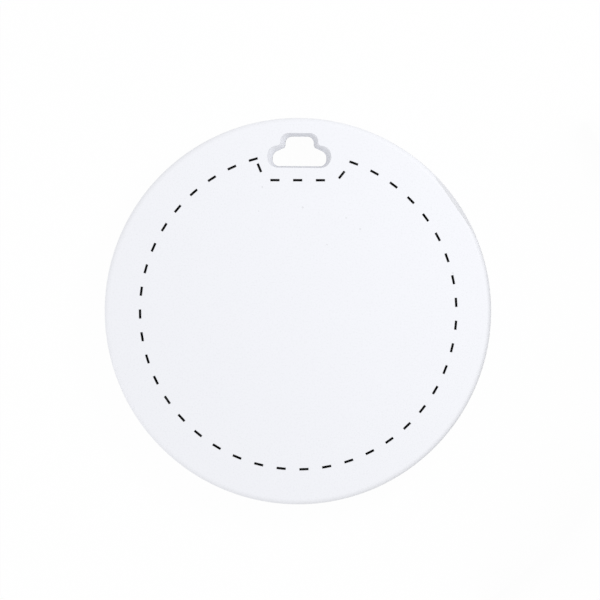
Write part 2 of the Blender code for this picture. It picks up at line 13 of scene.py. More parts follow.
import bmesh
import bpy
from mathutils import Euler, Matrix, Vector

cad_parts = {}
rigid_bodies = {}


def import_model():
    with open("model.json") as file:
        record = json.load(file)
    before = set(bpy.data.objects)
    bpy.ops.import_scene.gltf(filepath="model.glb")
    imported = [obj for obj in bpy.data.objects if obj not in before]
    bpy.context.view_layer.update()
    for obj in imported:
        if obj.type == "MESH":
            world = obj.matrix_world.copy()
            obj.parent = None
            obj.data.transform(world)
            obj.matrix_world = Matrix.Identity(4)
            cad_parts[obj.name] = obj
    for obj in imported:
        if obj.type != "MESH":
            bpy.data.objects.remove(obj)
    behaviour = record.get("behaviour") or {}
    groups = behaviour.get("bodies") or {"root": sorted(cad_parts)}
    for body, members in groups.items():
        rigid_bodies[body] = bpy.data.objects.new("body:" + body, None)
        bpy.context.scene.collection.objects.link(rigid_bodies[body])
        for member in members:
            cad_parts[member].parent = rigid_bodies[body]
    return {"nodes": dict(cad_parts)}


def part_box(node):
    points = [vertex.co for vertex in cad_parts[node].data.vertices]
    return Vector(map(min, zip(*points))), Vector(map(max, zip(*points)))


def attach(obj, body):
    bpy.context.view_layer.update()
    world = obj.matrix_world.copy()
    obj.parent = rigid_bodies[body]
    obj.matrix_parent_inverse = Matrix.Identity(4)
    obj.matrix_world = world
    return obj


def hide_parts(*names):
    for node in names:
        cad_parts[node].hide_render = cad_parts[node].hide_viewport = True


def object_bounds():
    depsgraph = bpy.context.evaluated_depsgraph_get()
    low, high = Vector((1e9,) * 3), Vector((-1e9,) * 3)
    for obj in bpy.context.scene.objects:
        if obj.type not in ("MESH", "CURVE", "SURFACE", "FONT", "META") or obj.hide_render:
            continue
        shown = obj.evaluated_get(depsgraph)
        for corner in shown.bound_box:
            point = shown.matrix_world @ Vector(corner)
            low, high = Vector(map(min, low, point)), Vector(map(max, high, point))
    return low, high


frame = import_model()
CAD_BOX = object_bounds()

LOG = logging.getLogger("tag")
MM = 0.001
MERGE_DISTANCE = 1e-7
INK_THICKNESS = 0.012 * MM
Point = tuple[float, float]
Triple = tuple[float, float, float]
Colour = Triple


class Body(str, Enum):
    """The bodies that pieces ride on."""

    REAR = "rear_cover"
    CELL = "coin_cell"
    FRONT = "front_cover"


class Join(str, Enum):
    """How one solid is combined with another."""

    ADD = "UNION"
    CUT = "DIFFERENCE"


# ---------------------------------------------------------------- shader maths


@dataclass(frozen=True)
class Wire:
    """A value flowing out of a node, on which Python's operators add Math nodes."""

    tree: bpy.types.NodeTree
    socket: bpy.types.NodeSocket

    def _math(self, operation: str, first: object, second: object) -> "Wire":
        """Adds one Math node.

        Args:
            operation: the Math node's operation.
            first: a wire or a number.
            second: a wire or a number.

        Returns:
            The node's result.
        """
        node = self.tree.nodes.new("ShaderNodeMath")
        node.operation = operation
        for slot, value in zip(node.inputs, (first, second)):
            if isinstance(value, Wire):
                self.tree.links.new(value.socket, slot)
            else:
                slot.default_value = value
        return Wire(self.tree, node.outputs[0])

    def __add__(self, other: object) -> "Wire":
        """self + other."""
        return self._math("ADD", self, other)

    def __radd__(self, other: object) -> "Wire":
        """other + self."""
        return self._math("ADD", other, self)

    def __sub__(self, other: object) -> "Wire":
        """self - other."""
        return self._math("SUBTRACT", self, other)

    def __rsub__(self, other: object) -> "Wire":
        """other - self."""
        return self._math("SUBTRACT", other, self)

    def __mul__(self, other: object) -> "Wire":
        """self * other."""
        return self._math("MULTIPLY", self, other)

    def __rmul__(self, other: object) -> "Wire":
        """other * self."""
        return self._math("MULTIPLY", other, self)

    def __gt__(self, other: object) -> "Wire":
        """1 where self is over other, else 0."""
        return self._math("GREATER_THAN", self, other)

    def __lt__(self, other: object) -> "Wire":
        """1 where self is under other, else 0."""
        return self._math("LESS_THAN", self, other)


class Surface:
    """A material with one Principled shader, on which a finish draws its pattern."""

    def __init__(self, name: str) -> None:
        """Makes the empty material and its Object coordinates."""
        self.material = bpy.data.materials.new(name)
        self.material.use_nodes = True
        self.tree = self.material.node_tree
        self.shader = self.tree.nodes["Principled BSDF"]
        self.place = self.node("ShaderNodeTexCoord", {}, {}, "Object")

    def node(self, kind: str, settings: dict, inputs: dict, output: str | int = 0) -> Wire:
        """Adds any node.

        Args:
            kind: the node's type.
            settings: its properties, set before its sockets.
            inputs: values or wires by socket name or number.
            output: the socket to return.

        Returns:
            The wire out of that socket.
        """
        node = self.tree.nodes.new(kind)
        for key, value in settings.items():
            setattr(node, key, value)
        for key, value in inputs.items():
            if isinstance(value, Wire):
                self.tree.links.new(value.socket, node.inputs[key])
            else:
                node.inputs[key].default_value = value
        return Wire(self.tree, node.outputs[output])

    def noise(self, size: float, detail: float = 2.0, stretch: Triple = (1.0, 1.0, 1.0)) -> Wire:
        """Noise whose blobs are about one size across.

        Args:
            size: the blobs' size in metres.
            detail: octaves of finer noise.
            stretch: the factor by which the blobs are longer along each axis.

        Returns:
            A value about 0.5.
        """
        scale = tuple(1.0 / factor for factor in stretch)
        place = self.node("ShaderNodeMapping", {}, {"Vector": self.place, "Scale": scale})
        return self.node("ShaderNodeTexNoise", {}, {"Vector": place, "Scale": 1.0 / size, "Detail": detail})

    def specks(self, spacing: float, share: float, patches: float = 0.3, cutoff: float = 0.62) -> Wire:
        """Rare small dots, as 1 on a dot and 0 elsewhere.

        Args:
            spacing: the distance between places where a dot may be, in metres.
            share: a dot's size as a share of the spacing.
            patches: how many patches lie across one spacing.
            cutoff: the noise over which a patch has dots.

        Returns:
            The mask.
        """
        dots = {"Vector": self.place, "Scale": 1.0 / spacing}
        areas = {"Vector": self.place, "Scale": patches / spacing, "Detail": 0.0}
        near = self.node("ShaderNodeTexVoronoi", {}, dots, "Distance")
        rare = self.node("ShaderNodeTexNoise", {}, areas)
        return (near < share) * (rare > cutoff)

    def mix(self, factor: object, first: object, second: object) -> Wire:
        """One colour turning into another.

        Args:
            factor: how much of the second, a wire or a number.
            first: a wire or a colour.
            second: a wire or a colour.

        Returns:
            The mixed colour.
        """
        colours = {6: self._colour(first), 7: self._colour(second), 0: factor}
        return self.node("ShaderNodeMix", {"data_type": "RGBA"}, colours, 2)

    @staticmethod
    def _colour(value: object) -> object:
        """A wire as it is, and a colour with its alpha."""
        return value if isinstance(value, Wire) else (*value, 1.0)

    def bump(self, height: Wire, distance: float, strength: float) -> Wire:
        """A normal from a height.

        Args:
            height: the height's value.
            distance: what a height of 1 stands for, in metres.
            strength: the bump's strength.

        Returns:
            The normal.
        """
        inputs = {"Height": height, "Distance": distance, "Strength": strength}
        return self.node("ShaderNodeBump", {}, inputs)

    def wear(self, **sockets: object) -> bpy.types.Material:
        """Sets or links the shader's sockets, named with underscores.

        Args:
            sockets: values or wires.

        Returns:
            The finished material.
        """
        for key, value in sockets.items():
            slot = self.shader.inputs[key.replace("_", " ")]
            if isinstance(value, Wire):
                self.tree.links.new(value.socket, slot)
            else:
                slot.default_value = value
        return self.material


# ------------------------------------------------------------------- finishes


def shade(colour: Colour, factor: float) -> Colour:
    """A colour made lighter or darker by a factor, kept within 0 and 1."""
    return tuple(min(1.0, channel * factor) for channel in colour)


@dataclass(frozen=True)
class Moulded:
    """Moulded or pressed material with a fine eroded grain."""

    name: str
    colour: Colour
    roughness: float = 0.5
    grain: float = 0.12 * MM
    depth: float = 0.004 * MM
    mottle: float = 0.012
    mottle_size: float = 2.4 * MM
    fleck: float = 0.16
    fleck_size: float = 0.16 * MM
    speck_spacing: float = 1.9 * MM
    speck_size: float = 0.06
    speck_strength: float = 0.6
    sheen_swing: float = 0.12
    sheen_size: float = 0.6 * MM
    specular: float = 0.5

    def material(self) -> bpy.types.Material:
        """The material, with slow mottling, specks and grain."""
        surface = Surface(self.name)
        cloud = surface.noise(self.mottle_size, 3.0)
        tone = surface.mix(cloud, shade(self.colour, 1 - self.mottle), shade(self.colour, 1 + self.mottle))
        tone = surface.mix((surface.noise(self.fleck_size, 1.0) - 0.5) * self.fleck, tone, (0.0, 0.0, 0.0))
        specks = surface.specks(self.speck_spacing, self.speck_size)
        tone = surface.mix(specks * self.speck_strength, tone, shade(self.colour, 0.8))
        grain = surface.noise(self.grain)
        sheen = surface.noise(self.sheen_size)
        return surface.wear(
            Base_Color=tone,
            Roughness=self.roughness - self.sheen_swing / 2 + self.sheen_swing * sheen,
            Specular_IOR_Level=self.specular,
            Normal=surface.bump(grain, self.depth, 0.6),
        )


@dataclass(frozen=True)
class Plated:
    """Rolled or plated metal with drawn lines along one axis and a slight bloom."""

    name: str
    colour: Colour
    roughness: float = 0.28
    roughness_swing: float = 0.16
    lines: Triple = (30.0, 1.0, 1.0)

    def material(self) -> bpy.types.Material:
        """The metal, with drawn lines in its roughness and in its relief."""
        surface = Surface(self.name)
        drawn = surface.noise(0.05 * MM, 2.0, self.lines)
        bloom = surface.noise(1.6 * MM, 3.0)
        return surface.wear(
            Base_Color=surface.mix(bloom, shade(self.colour, 0.9), shade(self.colour, 1.06)),
            Metallic=1.0,
            Roughness=self.roughness - self.roughness_swing / 2 + self.roughness_swing * drawn,
            Normal=surface.bump(drawn, 0.003 * MM, 0.4),
        )


@dataclass(frozen=True)
class SolderMask:
    """Green board lacquer over copper tracks, with round plated vias."""

    name: str = "solder_mask"
    colour: Colour = (0.012, 0.13, 0.07)
    track: Colour = (0.03, 0.24, 0.12)
    track_pitch: float = 1.3 * MM
    track_share: float = 0.09
    via: Colour = (0.80, 0.66, 0.36)
    via_pitch: float = 1.7 * MM
    via_share: float = 0.11

    def material(self) -> bpy.types.Material:
        """The lacquer, raised and lighter over its tracks."""
        surface = Surface(self.name)
        net = {"Vector": surface.place, "Scale": 1.0 / self.track_pitch, "Randomness": 0.7}
        spots = {"Vector": surface.place, "Scale": 1.0 / self.via_pitch}
        to_edge = {"feature": "DISTANCE_TO_EDGE", "distance": "EUCLIDEAN"}
        cells = surface.node("ShaderNodeTexVoronoi", to_edge, net, "Distance")
        dots = surface.node("ShaderNodeTexVoronoi", {}, spots, "Distance")
        tracks = cells < self.track_share
        vias = dots < self.via_share
        lacquer = surface.mix(tracks, self.colour, self.track)
        return surface.wear(
            Base_Color=surface.mix(vias, lacquer, self.via),
            Metallic=0.9 * vias,
            Roughness=0.28 + 0.1 * surface.noise(0.4 * MM),
            Normal=surface.bump(tracks + vias, 0.02 * MM, 0.5),
        )


@dataclass(frozen=True)
class Ink:
    """Dense black printing ink with a faint screen texture."""

    name: str = "guide_ink"
    colour: Colour = (0.0015, 0.0015, 0.0015)
    screen_size: float = 0.04 * MM
    relief: float = 0.002 * MM

    def material(self) -> bpy.types.Material:
        """The ink."""
        surface = Surface(self.name)
        screen = surface.noise(self.screen_size, 1.0)
        return surface.wear(
            Base_Color=surface.mix(screen, self.colour, shade(self.colour, 1.6)),
            Roughness=0.7 + 0.1 * screen,
            Specular_IOR_Level=0.04,
            Normal=surface.bump(screen, self.relief, 0.3),
        )


@dataclass(frozen=True)
class Finishes:
    """Every finish on the tag, each made once."""

    shell: Moulded = Moulded("white_abs", (0.862, 0.871, 0.912), 0.52, mottle=0.006, specular=0.35)
    nylon: Moulded = Moulded("black_nylon", (0.03, 0.03, 0.034), 0.5, grain=0.2 * MM, mottle=0.15)
    resin: Moulded = Moulded("chip_resin", (0.035, 0.035, 0.04), 0.42, grain=0.08 * MM, mottle=0.2)
    ferrite: Moulded = Moulded("ferrite", (0.07, 0.07, 0.075), 0.6, grain=0.15 * MM, mottle=0.2)
    white_ceramic: Moulded = Moulded("white_ceramic", (0.84, 0.83, 0.78), 0.35, mottle=0.03)
    tan_ceramic: Moulded = Moulded("tan_ceramic", (0.46, 0.33, 0.2), 0.35, mottle=0.08)
    silicone: Moulded = Moulded("grey_silicone", (0.45, 0.47, 0.5), 0.65, mottle=0.03)
    foam: Moulded = Moulded(
        "black_foam", (0.05, 0.05, 0.052), 0.95, grain=0.25 * MM, depth=0.05 * MM, mottle=0.3
    )
    steel: Plated = Plated("bright_steel", (0.74, 0.74, 0.72))
    brass: Plated = Plated("piezo_brass", (0.80, 0.62, 0.30))
    gilt: Plated = Plated("gilt_contact", (0.87, 0.70, 0.38), 0.22)
    board: SolderMask = SolderMask()
    ink: Ink = Ink()


class Palette:
    """The materials made from the finishes, looked up by the finish's field name."""

    def __init__(self, finishes: Finishes) -> None:
        """Remembers the finishes and starts with no material made."""
        self.finishes = finishes
        self.made: dict[str, bpy.types.Material] = {}

    def dress(self, piece: bpy.types.Object, finish: str) -> None:
        """Gives a piece one finish all over.

        Args:
            piece: the piece or CAD node.
            finish: the finish's field name.
        """
        if finish not in self.made:
            self.made[finish] = getattr(self.finishes, finish).material()
        piece.data.materials.clear()
        piece.data.materials.append(self.made[finish])


# ----------------------------------------------------------------- workbench


class Bench:
    """Modelling by Blender's own operators, with selections made in code."""

    @staticmethod
    def clear() -> None:
        """Deselects every object."""
        for other in bpy.context.view_layer.objects:
            other.select_set(False)

    @staticmethod
    def hold(piece: bpy.types.Object) -> None:
        """Selects one object alone and makes it active."""
        Bench.clear()
        piece.select_set(True)
        bpy.context.view_layer.objects.active = piece

    @staticmethod
    def edit(piece: bpy.types.Object, mode: str = "FACE") -> None:
        """Opens a piece in edit mode with nothing selected.

        Args:
            piece: the piece.
            mode: VERT, EDGE or FACE.
        """
        Bench.hold(piece)
        bpy.ops.object.mode_set(mode="EDIT")
        bpy.ops.mesh.select_mode(type=mode)
        bpy.ops.mesh.select_all(action="DESELECT")

    @staticmethod
    def close() -> None:
        """Returns to object mode."""
        bpy.ops.object.mode_set(mode="OBJECT")

    @staticmethod
    def pick(piece: bpy.types.Object, kind: str, test: Callable) -> int:
        """Selects the faces, edges or vertices that pass a test, in edit mode.

        Args:
            piece: the piece in edit mode.
            kind: "faces", "edges" or "verts".
            test: takes one element.

        Returns:
            How many passed.
        """
        mesh = bmesh.from_edit_mesh(piece.data)
        count = 0
        for part in getattr(mesh, kind):
            chosen = bool(test(part))
            part.select_set(chosen)
            count += chosen
        mesh.select_flush_mode()
        bmesh.update_edit_mesh(piece.data)
        return count

    @staticmethod
    def settle(piece: bpy.types.Object) -> None:
        """Applies a piece's place, turn and size to its mesh."""
        Bench.hold(piece)
        bpy.ops.object.transform_apply(location=True, rotation=True, scale=True)

    @staticmethod
    def turn(piece: bpy.types.Object, degrees: float) -> None:
        """Turns a settled piece about the tag's axis."""
        piece.rotation_euler = (0.0, 0.0, math.radians(degrees))
        Bench.settle(piece)

    @staticmethod
    def cylinder(
        name: str, radius: float, low: float, high: float, sides: int, at: Point = (0.0, 0.0)
    ) -> bpy.types.Object:
        """A round blank.

        Args:
            name: the piece's name.
            radius: its radius.
            low: its lower height.
            high: its upper height.
            sides: how many sides its circle has.
            at: its centre in plan.

        Returns:
            The blank, settled.
        """
        Bench.clear()
        bpy.ops.mesh.primitive_cylinder_add(
            vertices=sides, radius=radius, depth=high - low, location=(*at, (low + high) / 2)
        )
        piece = bpy.context.object
        piece.name = piece.data.name = name
        Bench.settle(piece)
        return piece

    @staticmethod
    def block(name: str, low: Vector, high: Vector) -> bpy.types.Object:
        """A box blank between two corners, settled."""
        Bench.clear()
        bpy.ops.mesh.primitive_cube_add(size=1.0, location=(low + high) / 2)
        piece = bpy.context.object
        piece.name = piece.data.name = name
        piece.scale = high - low
        Bench.settle(piece)
        return piece

    @staticmethod
    def round_edges(piece: bpy.types.Object, test: Callable, width: float, steps: int) -> None:
        """Rounds the edges that pass a test.

        Args:
            piece: the piece.
            test: takes an edge.
            width: the rounding's radius.
            steps: its segments.
        """
        Bench.edit(piece, "EDGE")
        if Bench.pick(piece, "edges", test):
            bpy.ops.mesh.bevel(offset=width, segments=steps, profile=0.5, affect="EDGES")
        Bench.close()

    @staticmethod
    def combine(piece: bpy.types.Object, other: bpy.types.Object, how: Join) -> None:
        """Joins or cuts a piece with another, which is used up.

        Args:
            piece: the piece that is kept.
            other: the piece that is used up.
            how: whether it is added or cut away.
        """
        Bench.hold(piece)
        modifier = piece.modifiers.new("combine", "BOOLEAN")
        modifier.operation = how.value
        modifier.solver = "EXACT"
        modifier.object = other
        bpy.ops.object.modifier_apply(modifier=modifier.name)
        bpy.data.objects.remove(other, do_unlink=True)

    @staticmethod
    def copy_node(node: str, name: str, grow: float = 0.0) -> bpy.types.Object:
        """A merged copy of a CAD node, grown along its normals if asked.

        Args:
            node: the CAD node.
            name: the copy's name.
            grow: how far each face moves outward.

        Returns:
            The copy, unparented.
        """
        source = frame["nodes"][node]
        piece = bpy.data.objects.new(name, source.data.copy())
        bpy.context.scene.collection.objects.link(piece)
        piece.data.materials.clear()
        Bench.edit(piece, "VERT")
        bpy.ops.mesh.select_all(action="SELECT")
        bpy.ops.mesh.remove_doubles(threshold=MERGE_DISTANCE)
        Bench.close()
        if grow:
            modifier = piece.modifiers.new("grow", "DISPLACE")
            modifier.strength = grow
            modifier.mid_level = 0.0
            bpy.ops.object.modifier_apply(modifier=modifier.name)
        return piece

    @staticmethod
    def smooth(piece: bpy.types.Object, degrees: float = 32.0) -> None:
        """Shades a piece smooth up to an angle, with flat faces kept flat."""
        Bench.edit(piece, "VERT")
        bpy.ops.mesh.select_all(action="SELECT")
        bpy.ops.mesh.remove_doubles(threshold=MERGE_DISTANCE)
        Bench.close()
        bpy.ops.object.shade_smooth_by_angle(angle=math.radians(degrees))
        modifier = piece.modifiers.new("flat_faces", "WEIGHTED_NORMAL")
        modifier.keep_sharp = True
        modifier.weight = 100
        bpy.ops.object.modifier_apply(modifier=modifier.name)


def radial(point: Vector) -> float:
    """A point's distance from the tag's axis."""
    return math.hypot(point.x, point.y)


def arc(centre: Point, radius: float, start: float, end: float, steps: int) -> list[Point]:
    """Points along an arc.

    Args:
        centre: its centre.
        radius: its radius.
        start: its first angle in degrees.
        end: its last angle in degrees.
        steps: its segments.

    Returns:
        The points, both ends among them.
    """
    points = []
    for step in range(steps + 1):
        angle = math.radians(start + (end - start) * step / steps)
        points.append((centre[0] + radius * math.cos(angle), centre[1] + radius * math.sin(angle)))
    return points


def rounded(corners: Sequence[tuple[float, float, float]], steps: int) -> list[Point]:
    """A closed outline whose corners are arcs that meet both sides.

    Args:
        corners: (x, y, radius) of each corner.
        steps: segments in each arc.

    Returns:
        The outline's points.
    """
    points: list[Point] = []
    for index, (x, y, radius) in enumerate(corners):
        corner = Vector((x, y))
        back = (Vector(corners[index - 1][:2]) - corner).normalized()
        ahead = (Vector(corners[(index + 1) % len(corners)][:2]) - corner).normalized()
        half = back.angle(ahead) / 2
        centre = corner + (back + ahead).normalized() * (radius / math.sin(half))
        first = corner + back * (radius / math.tan(half)) - centre
        last = corner + ahead * (radius / math.tan(half)) - centre
        start = math.atan2(first.y, first.x)
        sweep = (math.atan2(last.y, last.x) - start + math.pi) % math.tau - math.pi
        points += arc(tuple(centre), radius, math.degrees(start), math.degrees(start + sweep), steps)
    return points


# -------------------------------------------------------------------- shells


@dataclass(frozen=True)
class HatOutline:
    """The lanyard hole's outline: a low crown over a wider rounded bar, from its centre."""

    top: float
    crown: float
    neck: float
    side: float
    shoulder: float
    bottom: float
    bends: tuple[float, float, float, float]

    def points(self, centre: float, steps: int = 10) -> list[Point]:
        """The outline about a centre that far up the tag.

        Args:
            centre: the hole centre's Y.
            steps: segments in each bend.

        Returns:
            The outline's points, anticlockwise.
        """
        bar, shoulder, neck, top = self.bends
        right = [
            (self.side, -self.bottom, bar),
            (self.side, self.shoulder, shoulder),
            (self.crown, self.neck, neck),
            (self.crown, self.top, top),
        ]
        left = [(-x, y, bend) for x, y, bend in reversed(right)]
        return [(x, y + centre) for x, y in rounded(right + left, steps)]


@dataclass
class LanyardHole:
    """The hole's mouth on a face, and its throat inside."""

    inset: float = 3.3 * MM
    lip: float = 0.9 * MM
    mouth: HatOutline = HatOutline(
        top=1.82 * MM,
        crown=1.87 * MM,
        neck=0.66 * MM,
        side=3.15 * MM,
        shoulder=0.38 * MM,
        bottom=1.60 * MM,
        bends=(1.05 * MM, 0.95 * MM, 0.32 * MM, 0.82 * MM),
    )
    throat: HatOutline = HatOutline(
        top=1.48 * MM,
        crown=1.42 * MM,
        neck=0.42 * MM,
        side=2.67 * MM,
        shoulder=-0.15 * MM,
        bottom=1.44 * MM,
        bends=(0.66 * MM, 0.75 * MM, 0.30 * MM, 0.66 * MM),
    )

    def cutter(self, radius: float, face: float, inward: float, reach: float) -> bpy.types.Object:
        """The hole's shape, extruded ring by ring from outside a face.

        Args:
            radius: the tag's radius.
            face: the height of the face.
            inward: 1 where the tag lies above the face, -1 where it lies below.
            reach: how far the hole goes in.

        Returns:
            The cutter.
        """
        centre = radius - self.inset
        mouth, throat = self.mouth.points(centre), self.throat.points(centre)
        rings = ((-self.lip, 0), (0, 0), (self.lip, 1), (reach, 1))
        levels = [(face + inward * depth, share) for depth, share in rings]
        Bench.clear()
        bpy.ops.mesh.primitive_circle_add(vertices=len(mouth), radius=radius, fill_type="NGON")
        cutter = bpy.context.object
        cutter.name = "hole_cutter"
        order = [vertex.index for vertex in cutter.data.vertices]
        for index, (x, y) in zip(order, mouth):
            cutter.data.vertices[index].co = (x, y, levels[0][0])
        Bench.edit(cutter)
        bpy.ops.mesh.select_all(action="SELECT")
        for (_, before), (height, share) in zip(levels, levels[1:]):
            self._raise(cutter, mouth, throat, before, height, share)
        bpy.ops.mesh.select_all(action="SELECT")
        bpy.ops.mesh.normals_make_consistent(inside=False)
        Bench.close()
        return cutter

    @staticmethod
    def _raise(
        cutter: bpy.types.Object,
        mouth: list[Point],
        throat: list[Point],
        before: float,
        height: float,
        share: float,
    ) -> None:
        """Extrudes the cutter's last face to a height and narrows it.

        Args:
            cutter: the cutter in edit mode, with its last face selected.
            mouth: the wide outline.
            throat: the narrow outline.
            before: how far the last ring was narrowed, 0 to 1.
            height: the new ring's height.
            share: how far it is narrowed.
        """
        bpy.ops.mesh.extrude_region_move(TRANSFORM_OT_translate={"value": (0.0, 0.0, 0.0)})
        mesh = bmesh.from_edit_mesh(cutter.data)
        wide = [Vector(point) for point in mouth]
        narrow = [Vector(point) for point in throat]
        for vertex in (v for v in mesh.verts if v.select):
            here = vertex.co.xy
            index = min(
                range(len(wide)), key=lambda i: (wide[i].lerp(narrow[i], before) - here).length_squared
            )
            vertex.co = (*wide[index].lerp(narrow[index], share), height)
        bmesh.update_edit_mesh(cutter.data)


@dataclass
class Shell:
    """What both covers share: a round dish with a collar round the lanyard hole."""

    palette: Palette
    radius: float = field(default_factory=lambda: CAD_BOX[1][0])
    rim: float = 1.6 * MM
    wall: float = 0.8 * MM
    seam_chamfer: float = 0.12 * MM
    collar_wall: float = 1.6 * MM
    collar_bend: float = 0.6 * MM
    groove_fit: float = 0.05 * MM
    sides: int = 256
    notch_angle: float = 35.0
    hole: LanyardHole = field(default_factory=LanyardHole)

    def dish(self, name: str, seam: float, face: float, edge: float) -> bpy.types.Object:
        """A round dish that opens at the seam.

        Args:
            name: its name.
            seam: the height of its open rim.
            face: the height of its closed face.
            edge: the rounding of the face's edge.

        Returns:
            The dish.
        """
        dish = Bench.cylinder(name, self.radius, min(seam, face), max(seam, face), self.sides)
        Bench.edit(dish)
        near = self.wall / 100
        outer = self.radius - near

        def around(height: float) -> Callable[[bmesh.types.BMEdge], bool]:
            """The test for edges that run round the outside at one height."""
            return lambda e: all(abs(v.co.z - height) < near and radial(v.co) > outer for v in e.verts)

        Bench.pick(
            dish, "faces", lambda f: abs(f.calc_center_median().z - seam) < near and abs(f.normal.z) > 0.9
        )
        bpy.ops.mesh.inset(thickness=self.rim, depth=0.0)
        inner = face + math.copysign(self.wall, seam - face)
        bpy.ops.mesh.extrude_region_move(TRANSFORM_OT_translate={"value": (0.0, 0.0, inner - seam)})
        Bench.close()
        Bench.round_edges(dish, around(face), edge, 10)
        Bench.round_edges(dish, around(seam), self.seam_chamfer, 3)
        return dish

    def add_collar(self, dish: bpy.types.Object, low: float, high: float) -> None:
        """Joins the block of wall round the lanyard hole to a dish.

        Args:
            dish: the dish.
            low: the block's lower height.
            high: the block's upper height.
        """
        side = self.hole.throat.side + self.collar_wall
        bottom = self.radius - self.hole.inset - self.hole.throat.bottom - self.collar_wall
        top = math.sqrt((self.radius - self.rim / 2) ** 2 - side**2)
        collar = Bench.block("collar", Vector((-side, bottom, low)), Vector((side, top, high)))
        half = (high - low) / 2
        Bench.round_edges(
            collar, lambda e: abs((e.verts[0].co - e.verts[1].co).z) > half, self.collar_bend, 6
        )
        Bench.combine(dish, collar, Join.ADD)

    def place(self, shell: bpy.types.Object, body: Body) -> None:
        """Smooths and dresses a finished shell, attaches it to its body and hides its CAD node.

        Args:
            shell: the shell.
            body: the body it rides on, which is also its CAD node's name.
        """
        Bench.smooth(shell)
        self.palette.dress(shell, "shell")
        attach(shell, body.value)
        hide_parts(body.value)
        LOG.info("%s: %d faces", shell.name, len(shell.data.polygons))


@dataclass
class FrontShell(Shell):
    """The face, which presses as a button."""

    edge: float = 0.5 * MM
    press_travel: float = 0.2 * MM
    seam_gap: float = 0.25 * MM
    notch_depth: float = 0.4 * MM
    notch_half: float = 3.65 * MM
    boss_radius: float = 1.0 * MM
    tab_angles: tuple[float, ...] = (150.0, 215.0, 325.0, 30.0)
    tab_size: tuple[float, float] = (0.6 * MM, 4.0 * MM)
    tab_fit: float = 0.15 * MM
    ink: float = INK_THICKNESS

    def build(self) -> None:
        """Models the shell, with the ink's thickness taken off its face."""
        low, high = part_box("front_cover")
        face = high.z - self.ink
        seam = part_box("rear_cover")[1].z + self.seam_gap
        shell = self.dish("front_shell", seam, face, self.edge)
        sunk = face - self.wall / 2
        self.add_collar(shell, seam, sunk)
        for angle in self.tab_angles:
            self._add_tab(shell, angle, low.z, sunk)
        self._add_boss(shell, sunk)
        groove = Bench.copy_node("sealing_ring", "groove", self.groove_fit)
        Bench.edit(groove, "VERT")
        Bench.pick(groove, "verts", lambda v: v.co.z > seam)
        bpy.ops.transform.translate(value=(0.0, 0.0, self.press_travel))
        Bench.close()
        Bench.combine(shell, groove, Join.CUT)
        Bench.combine(shell, self.hole.cutter(self.radius, face, -1.0, high.z), Join.CUT)
        Bench.combine(shell, self._notch(face), Join.CUT)
        self.place(shell, Body.FRONT)

    def _add_tab(self, shell: bpy.types.Object, angle: float, low: float, high: float) -> None:
        """Adds one snap tab inside the rim.

        Args:
            shell: the shell.
            angle: the tab's place round the rim in degrees.
            low: its lower height.
            high: its upper height.
        """
        thickness, width = self.tab_size
        outer = self.radius - self.rim - self.tab_fit
        inner_corner = Vector((outer - thickness, -width / 2, low))
        tab = Bench.block("tab", inner_corner, Vector((outer, width / 2, high)))
        Bench.round_edges(tab, lambda e: all(v.co.z < low + thickness for v in e.verts), thickness / 3, 3)
        Bench.turn(tab, angle)
        Bench.combine(shell, tab, Join.ADD)

    def _add_boss(self, shell: bpy.types.Object, high: float) -> None:
        """Adds the boss that works the switch."""
        low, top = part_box("switch_plunger")
        centre = ((low.x + top.x) / 2, (low.y + top.y) / 2)
        boss = Bench.cylinder("boss", self.boss_radius, top.z + self.groove_fit, high, 32, centre)
        Bench.combine(shell, boss, Join.ADD)

    def _notch(self, face: float) -> bpy.types.Object:
        """The slanted flat where a fingernail opens the seam.

        Args:
            face: the face's height.

        Returns:
            The cutter.
        """
        reach = self.notch_half
        blank = Bench.block(
            "notch",
            Vector((self.radius, -2 * reach, face - reach)),
            Vector((self.radius + 2 * reach, 2 * reach, face + reach)),
        )
        Bench.edit(blank, "VERT")
        Bench.pick(blank, "verts", lambda v: v.co.x < self.radius + reach and v.co.z > face)
        bpy.ops.transform.translate(value=(-2 * self.notch_depth, 0.0, 0.0))
        Bench.close()
        Bench.turn(blank, self.notch_angle)
        return blank


@dataclass
class RearShell(Shell):
    """The cover that the tag lies on."""

    edge: float = 0.8 * MM
    post_radius: float = 0.7 * MM
    post_angles: tuple[float, ...] = (45.0, 135.0, 225.0, 315.0)
    board_inner: float = 11.2 * MM
    slot: tuple[float, float, float] = (0.6 * MM, 3.2 * MM, 0.5 * MM)

    def build(self) -> None:
        """Models the shell."""
        low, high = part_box("rear_cover")
        shell = self.dish("rear_shell", high.z, low.z, self.edge)
        sunk = low.z + self.wall / 2
        self.add_collar(shell, sunk, high.z)
        frame_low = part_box("inner_frame")[0].z
        middle = (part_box("circuit_board")[1].x + self.board_inner) / 2
        for angle in self.post_angles:
            at = (middle * math.cos(math.radians(angle)), middle * math.sin(math.radians(angle)))
            post = Bench.cylinder("post", self.post_radius, sunk, frame_low - self.groove_fit, 24, at)
            Bench.combine(shell, post, Join.ADD)
        Bench.combine(shell, Bench.copy_node("sealing_ring", "groove", self.groove_fit), Join.CUT)
        Bench.combine(shell, self.hole.cutter(self.radius, low.z, 1.0, 2 * high.z), Join.CUT)
        depth, length, height = self.slot
        slot = Bench.block(
            "slot",
            Vector((self.radius - depth, -length / 2, high.z - height)),
            Vector((self.radius + depth, length / 2, high.z + height)),
        )
        Bench.round_edges(slot, lambda e: all(v.co.x < self.radius for v in e.verts), depth / 4, 3)
        Bench.turn(slot, self.notch_angle)
        Bench.combine(shell, slot, Join.CUT)
        self.place(shell, Body.REAR)


# --------------------------------------------------------------- print guide


